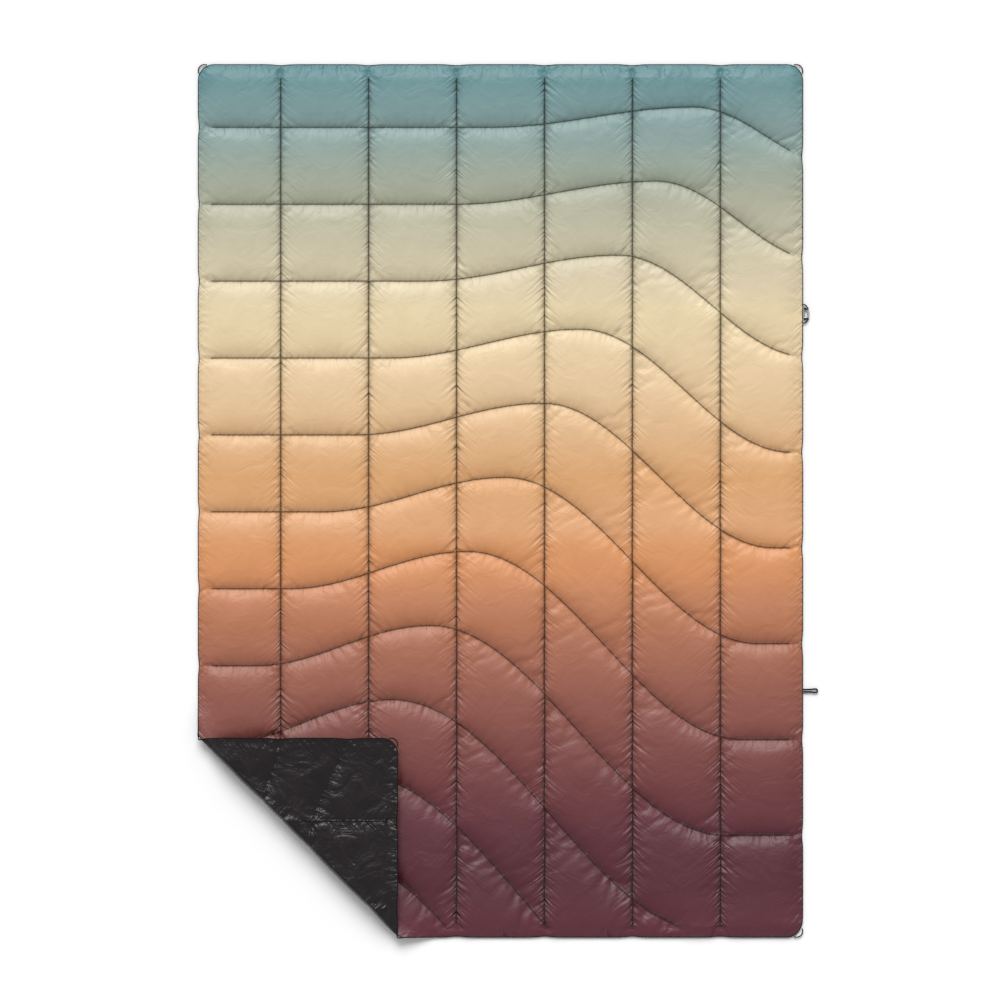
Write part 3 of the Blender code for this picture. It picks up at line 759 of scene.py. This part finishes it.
def print_colours(nodes, cut_place, gathers):
    parts = node(nodes, "SeparateXYZ")
    link(nodes, cut_place, parts.inputs[0])
    fade = node(nodes, "ValToRGB")
    ramp = fade.color_ramp
    for number, (drop, *rgb) in enumerate(reversed(PRINT)):
        place = 1 - drop / LENGTH
        stop = ramp.elements[number] if number < 2 else ramp.elements.new(place)
        stop.position = place
        stop.color = (*(linear(channel) for channel in rgb), 1)
    link(nodes, parts.outputs[1], fade.inputs[0])
    # The ink takes a little unevenly
    deeper = node(nodes, "HueSaturation")
    deeper.inputs["Value"].default_value = 0.80
    deeper.inputs["Saturation"].default_value = 1.06
    link(nodes, fade.outputs[0], deeper.inputs["Color"])
    uneven = maths(nodes, "MULTIPLY", gathers.outputs["Crumple"], 0.6)
    even = mixed_colour(nodes, uneven, fade.outputs[0], deeper.outputs[0])
    # Painted shade along the stitch lines' valleys, and a little along the edges
    drawn = node(nodes, "HueSaturation")
    drawn.inputs["Value"].default_value = 0.11
    drawn.inputs["Saturation"].default_value = 1.70
    link(nodes, fade.outputs[0], drawn.inputs["Color"])
    return mixed_colour(nodes, gathers.outputs["Seam"], even, drawn.outputs[0])


def black_colours(nodes, cut_place, gathers):
    dark, light = (0.0055, 0.0034, 0.0040), (0.0125, 0.0080, 0.0090)
    return mixed_colour(nodes, gathers.outputs["Crumple"], dark, light)


printed_nylon = shell_finish("printed_nylon", 0.47, 0.0085, 0.0022, print_colours)
black_nylon = shell_finish(
    "black_nylon", 0.33, 0.0090, 0.0052, black_colours, Specular_IOR_Level=0.36
)

TOP_AT_FOLD = FOLD_HEIGHT - 0.0003
BACK_AT_FOLD = FOLD_HEIGHT - 0.0016
top_cut, top_boundary = flat_cut(0.0050, corner_only=False)
top_blown = blown_up(top_cut, top_boundary, 11, spare=0.055, pressure=2.0, frames=16)
top_skin = laid_skin("top_skin", top_cut, top_blown, top_height, TOP_AT_FOLD, MAIN, True, printed_nylon)
corner_top_skin = laid_skin(
    "corner_top_skin", top_cut, top_blown, top_height, TOP_AT_FOLD, CORNER, True, printed_nylon
)
back_cut, back_boundary = flat_cut(0.0085, corner_only=False)
back_blown = blown_up(back_cut, back_boundary, 12, spare=0.035, pressure=2.0, frames=14)
back_skin = laid_skin(
    "back_skin", back_cut, back_blown, ground_back_height, BACK_AT_FOLD, MAIN, False, black_nylon
)
turned_cut, turned_boundary = flat_cut(0.0045, corner_only=True)
turned_blown = blown_up(turned_cut, turned_boundary, 13, spare=0.050, pressure=2.0, frames=20)
corner_back_skin = laid_skin(
    "corner_back_skin", turned_cut, turned_blown, loose_back_height, BACK_AT_FOLD, CORNER, False,
    black_nylon,
)
for piece, body, slot, solids in (
    (top_skin, "quilt", "printed_nylon", ("top_shell", "fill")),
    (back_skin, "quilt", "black_nylon", ("back_shell",)),
    (corner_top_skin, "corner", "printed_nylon", ("corner_top_shell", "corner_fill")),
    (corner_back_skin, "corner", "black_nylon", ("corner_back_shell",)),
):
    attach(piece, body)
    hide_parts(*solids)

# Folded edge
# Where the corner turns over, each skin rolls round the fold from the flat part into the corner: the black
# back outside, the print inside it.


def rolled_strip(name, layer_height, at_fold, bulge, faces_out, finish):
    """The part of a skin within the fold's roll, bent round the fold's axis."""
    across, along = 16, 240
    bm = bmesh.new()
    bmesh.ops.create_grid(bm, x_segments=along, y_segments=across, size=0.5)
    uv = bm.loops.layers.uv.new("OFBake")
    masks = [bm.verts.layers.float.new(mask) for mask in GATHER_INPUTS.values()]
    half = FOLD_LEG / 2**0.5 - SHELL_INSET * 2**0.5
    flat_places = {}
    for vert in bm.verts:
        side = -2 * vert.co.y * FOLD_ROLL
        run = 2 * vert.co.x * (half + side)
        flat = FOLD_POINT + FOLD_AXIS * run + FOLD_INWARD * side
        turn = pi / 2 * (1 - side / FOLD_ROLL)
        low = fold_settled(flat.x, flat.y, 0.0, layer_height, at_fold)
        on_line = FOLD_POINT + FOLD_AXIS * run
        flat_places[vert] = flat
        fullness = 0.68 + 0.32 * float(drawn_puff(on_line.x, on_line.y)) / FREE_PUFF
        vert.co = on_line + FOLD_INWARD * (FOLD_ROLL - bulge * fullness * sin(turn))
        vert.co.z = FOLD_HEIGHT - (FOLD_HEIGHT - low) * cos(turn)
        inside = float(edge_distance(flat.x, flat.y))
        runs = crease_runs(np.array([flat.x]), np.array([flat.y]))
        by_edge = np.exp(-max(inside, 0) / PUCKER_REACH)
        for layer, value in zip(masks, (0.15, 0.25, by_edge, runs[0][0], runs[1][0])):
            vert[layer] = value
    for face in bm.faces:
        for corner in face.loops:
            flat = flat_places[corner.vert]
            corner[uv].uv = ((flat.x + WIDTH / 2) / LENGTH, (flat.y + LENGTH / 2) / LENGTH)
    bm.normal_update()
    middle = min(bm.faces, key=lambda face: (face.calc_center_median() - FOLD_POINT).length)
    outwards = middle.normal.dot(FOLD_INWARD) < 0
    if outwards != faces_out:
        bmesh.ops.reverse_faces(bm, faces=bm.faces[:])
    mesh = bpy.data.meshes.new(name)
    bm.to_mesh(mesh)
    bm.free()
    mesh.shade_smooth()
    piece = add_to_scene(name, mesh, finish)
    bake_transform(piece)


rolled_strip(
    "fold_back_roll", ground_back_height, BACK_AT_FOLD, FOLD_ROLL, True, black_nylon
)
rolled_strip(
    "fold_top_roll", top_height, TOP_AT_FOLD, 0.7 * FOLD_ROLL, False, printed_nylon
)

# Edge piping
# A thin black cord in a folded nylon tape, sewn all round where the two skins meet, drawn in a little at
# the end of every seam. It stops at the fold's axis on each side.
PIPING_DIAMETER = 0.0028
PIPING_AT_FOLD = FOLD_HEIGHT - 0.0013
piping_finish = cord_finish("black_piping_tape", (0.004, 0.004, 0.004), (0.010, 0.009, 0.010), 0.0016)


def outline_run(side):
    """Flat points along the edge from the left end of the fold to its foot end, on one side of it."""
    inset = PIPING_DIAMETER / 2
    left, foot = inset - WIDTH / 2, inset - LENGTH / 2
    fold_left, fold_foot = (left, foot + FOLD_LEG - inset), (left + FOLD_LEG - inset, foot)
    corners = [(-1, 1), (1, 1), (1, -1)] if side == MAIN else [(-1, -1)]
    points = [fold_left]
    for across, along in corners:
        centre = corner_centre(across, along)
        turn = [a * pi / 24 for a in range(13)]
        if (across * along == 1) == (side == MAIN):
            turn.reverse()
        radius = CORNER_RADIUS - inset
        points += [(centre.x + across * radius * cos(a), centre.y + along * radius * sin(a)) for a in turn]
    points.append(fold_foot)
    made = [Vector(points[0])]
    for target in map(Vector, points[1:]):
        steps = max(1, round((target - made[-1]).length / 0.006))
        origin = made[-1]
        made += [origin.lerp(target, step / steps) for step in range(1, steps + 1)]
    return made


def piping_height(x, y, rise):
    return np.full_like(np.asarray(x, float), EDGE_HEIGHT)


for name, side, body, solid in (
    ("edge_piping_main", MAIN, "quilt", "edge_piping"),
    ("edge_piping_corner", CORNER, "corner", "corner_edge_piping"),
):
    route = []
    for flat in outline_run(side):
        beside = side * float(fold_side(flat.x, flat.y))
        height = float(fold_settled(flat.x, flat.y, EDGE_HEIGHT, piping_height, PIPING_AT_FOLD))
        x, y = (float(value) for value in gathered(flat.x, flat.y, inset=0.0))
        point = Vector((x, y, height))
        if beside < FOLD_ROLL:
            turn = pi / 2 * (1 - beside / FOLD_ROLL)
            point += FOLD_INWARD * side * (FOLD_ROLL * (1 - sin(turn)) - beside)
            point.z = FOLD_HEIGHT - (FOLD_HEIGHT - height) * cos(turn)
        route.append(FOLDED_OVER @ point if side == CORNER else point)
    piping = drawn_cord(name, route, PIPING_DIAMETER, piping_finish)
    piping.data.bevel_resolution = 2
    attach(piping, body)
    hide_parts(solid)

# Stitching
# Lockstitch through both skins in dark polyester thread, a dash of thread every 3.4 mm. The columns run
# over the wave rows, and the same stitches show on the back.
STITCH_PITCH = 0.0034
STITCH_LENGTH = 0.0029
STITCH_WIDTH = 0.0012


def thread_finish(name, dark, light):
    """Twisted polyester thread."""
    made, nodes, shader = new_material(name, 0.8, Specular_IOR_Level=0.05)
    place = node(nodes, "TexCoord").outputs["Object"]
    twist = use_group(nodes, braid_group, place, Pitch=0.0007)
    link(nodes, mixed_colour(nodes, twist.outputs["Shade"], dark, light), shader.inputs["Base Color"])
    link(nodes, bump(nodes, twist.outputs["Height"], 0.00006), shader.inputs["Normal"])
    return made


top_thread = thread_finish("brown_thread", (0.026, 0.011, 0.005), (0.070, 0.034, 0.016))
back_thread = thread_finish("black_thread", (0.008, 0.008, 0.008), (0.030, 0.028, 0.028))


stitch_bm = bmesh.new()
bmesh.ops.create_uvsphere(stitch_bm, u_segments=5, v_segments=4, radius=1)
stitch_size = Matrix.Diagonal((STITCH_WIDTH / 2, STITCH_WIDTH / 2, STITCH_LENGTH / 2, 1))
bmesh.ops.transform(
    stitch_bm, matrix=Matrix.Rotation(pi / 2, 4, "Y") @ stitch_size, verts=stitch_bm.verts[:]
)
one_stitch = bpy.data.meshes.new("one_stitch")
stitch_bm.to_mesh(one_stitch)
stitch_bm.free()
one_stitch.shade_smooth()
stitch_points = coordinates(one_stitch)


def stitched_piece(name, line, side, layer_height, at_fold, lift, finish):
    """Dashes of thread along a flat line, where it lies inside the margin on this side of the fold."""
    x, y = line
    runs = np.concatenate([[0], np.cumsum(np.hypot(np.diff(x), np.diff(y)))])
    marks = np.arange(STITCH_PITCH / 2, runs[-1], STITCH_PITCH)
    mid_x, mid_y = np.interp(marks, runs, x), np.interp(marks, runs, y)
    ahead_x, ahead_y = np.interp(marks + 0.001, runs, x), np.interp(marks + 0.001, runs, y)
    height = layer_height(mid_x, mid_y, np.zeros_like(mid_x))
    height = fold_settled(mid_x, mid_y, height, layer_height, at_fold) + lift
    kept = (edge_distance(mid_x, mid_y) > MARGIN) & (side * fold_side(mid_x, mid_y) > FOLD_ROLL + 0.002)
    laid_x, laid_y = gathered(mid_x, mid_y)
    bm = bmesh.new()
    for mark in np.flatnonzero(kept):
        heading = np.arctan2(ahead_y[mark] - mid_y[mark], ahead_x[mark] - mid_x[mark])
        turn = np.array(Matrix.Rotation(heading, 3, "Z"))
        laid = stitch_points @ turn.T + (laid_x[mark], laid_y[mark], height[mark])
        one_stitch.vertices.foreach_set("co", laid.ravel())
        bm.from_mesh(one_stitch)
    if side == CORNER:
        bmesh.ops.transform(bm, matrix=FOLDED_OVER, verts=bm.verts[:])
    mesh = bpy.data.meshes.new(name)
    bm.to_mesh(mesh)
    bm.free()
    return add_to_scene(name, mesh, finish)


def row_line(number):
    x = np.linspace(-WIDTH / 2, WIDTH / 2, 400)
    return x, wave_row(number, x)


def column_line(number):
    y = np.linspace(LENGTH / 2, -LENGTH / 2, 12)
    return np.full_like(y, stitch_column(number)), y


for side, body, prefix in ((MAIN, "quilt", ""), (CORNER, "corner", "corner_")):
    rows = range(ROWS) if side == MAIN else (9, 10)
    columns = range(COLUMNS) if side == MAIN else (0, 1)
    seams = [(f"{prefix}stitch_row_{n + 1:02d}", row_line(n), 0.00030) for n in rows]
    seams += [(f"{prefix}stitch_column_{n + 1}", column_line(n), 0.00045) for n in columns]
    for solid, line, lift in seams:
        piece = stitched_piece(f"{solid}_thread", line, side, top_height, TOP_AT_FOLD, lift, top_thread)
        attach(piece, body)
        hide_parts(solid)
    back_height = ground_back_height if side == MAIN else loose_back_height
    for solid, line, lift in seams:
        piece = stitched_piece(
            f"{solid}_back_thread", line, side, back_height, BACK_AT_FOLD, -lift, back_thread
        )
        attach(piece, body)

# Floor and light
# A plain pale floor and a soft light from beyond the head edge, with an even light all round.
bm = bmesh.new()
bmesh.ops.create_grid(bm, x_segments=1, y_segments=1, size=12)
floor_mesh = bpy.data.meshes.new("floor")
bm.to_mesh(floor_mesh)
bm.free()
floor_paint, _, floor_shader = new_material("pale_floor", 0.9, Base_Color=(0.93, 0.93, 0.93, 1))
floor_shader.inputs["Specular IOR Level"].default_value = 0.1
floor = add_to_scene("floor", floor_mesh, floor_paint)
floor.data.transform(Matrix.Translation((0, 0, -0.0006)))

world = bpy.data.worlds.new("studio")
world.use_nodes = True
world.node_tree.nodes["Background"].inputs["Color"].default_value = (1.0, 1.0, 1.0, 1)
world_nodes = world.node_tree.nodes
sky_parts = node(world_nodes, "SeparateXYZ")
link(world_nodes, node(world_nodes, "TexCoord").outputs["Generated"], sky_parts.inputs[0])
dimmer_above = node(world_nodes, "MapRange")
dimmer_above.inputs["To Min"].default_value = 0.74
dimmer_above.inputs["To Max"].default_value = 0.42
link(world_nodes, sky_parts.outputs[2], dimmer_above.inputs["Value"])
link(world_nodes, dimmer_above.outputs[0], world_nodes["Background"].inputs["Strength"])
bpy.context.scene.world = world
head_light_data = bpy.data.lights.new("head_light", "SUN")
head_light_data.energy = 2.5
head_light_data.angle = radians(36)
head_light = bpy.data.objects.new("head_light", head_light_data)
head_light.rotation_euler = (radians(-43), 0, radians(6))
bpy.context.scene.collection.objects.link(head_light)
bpy.context.scene.view_settings.view_transform = "Standard"
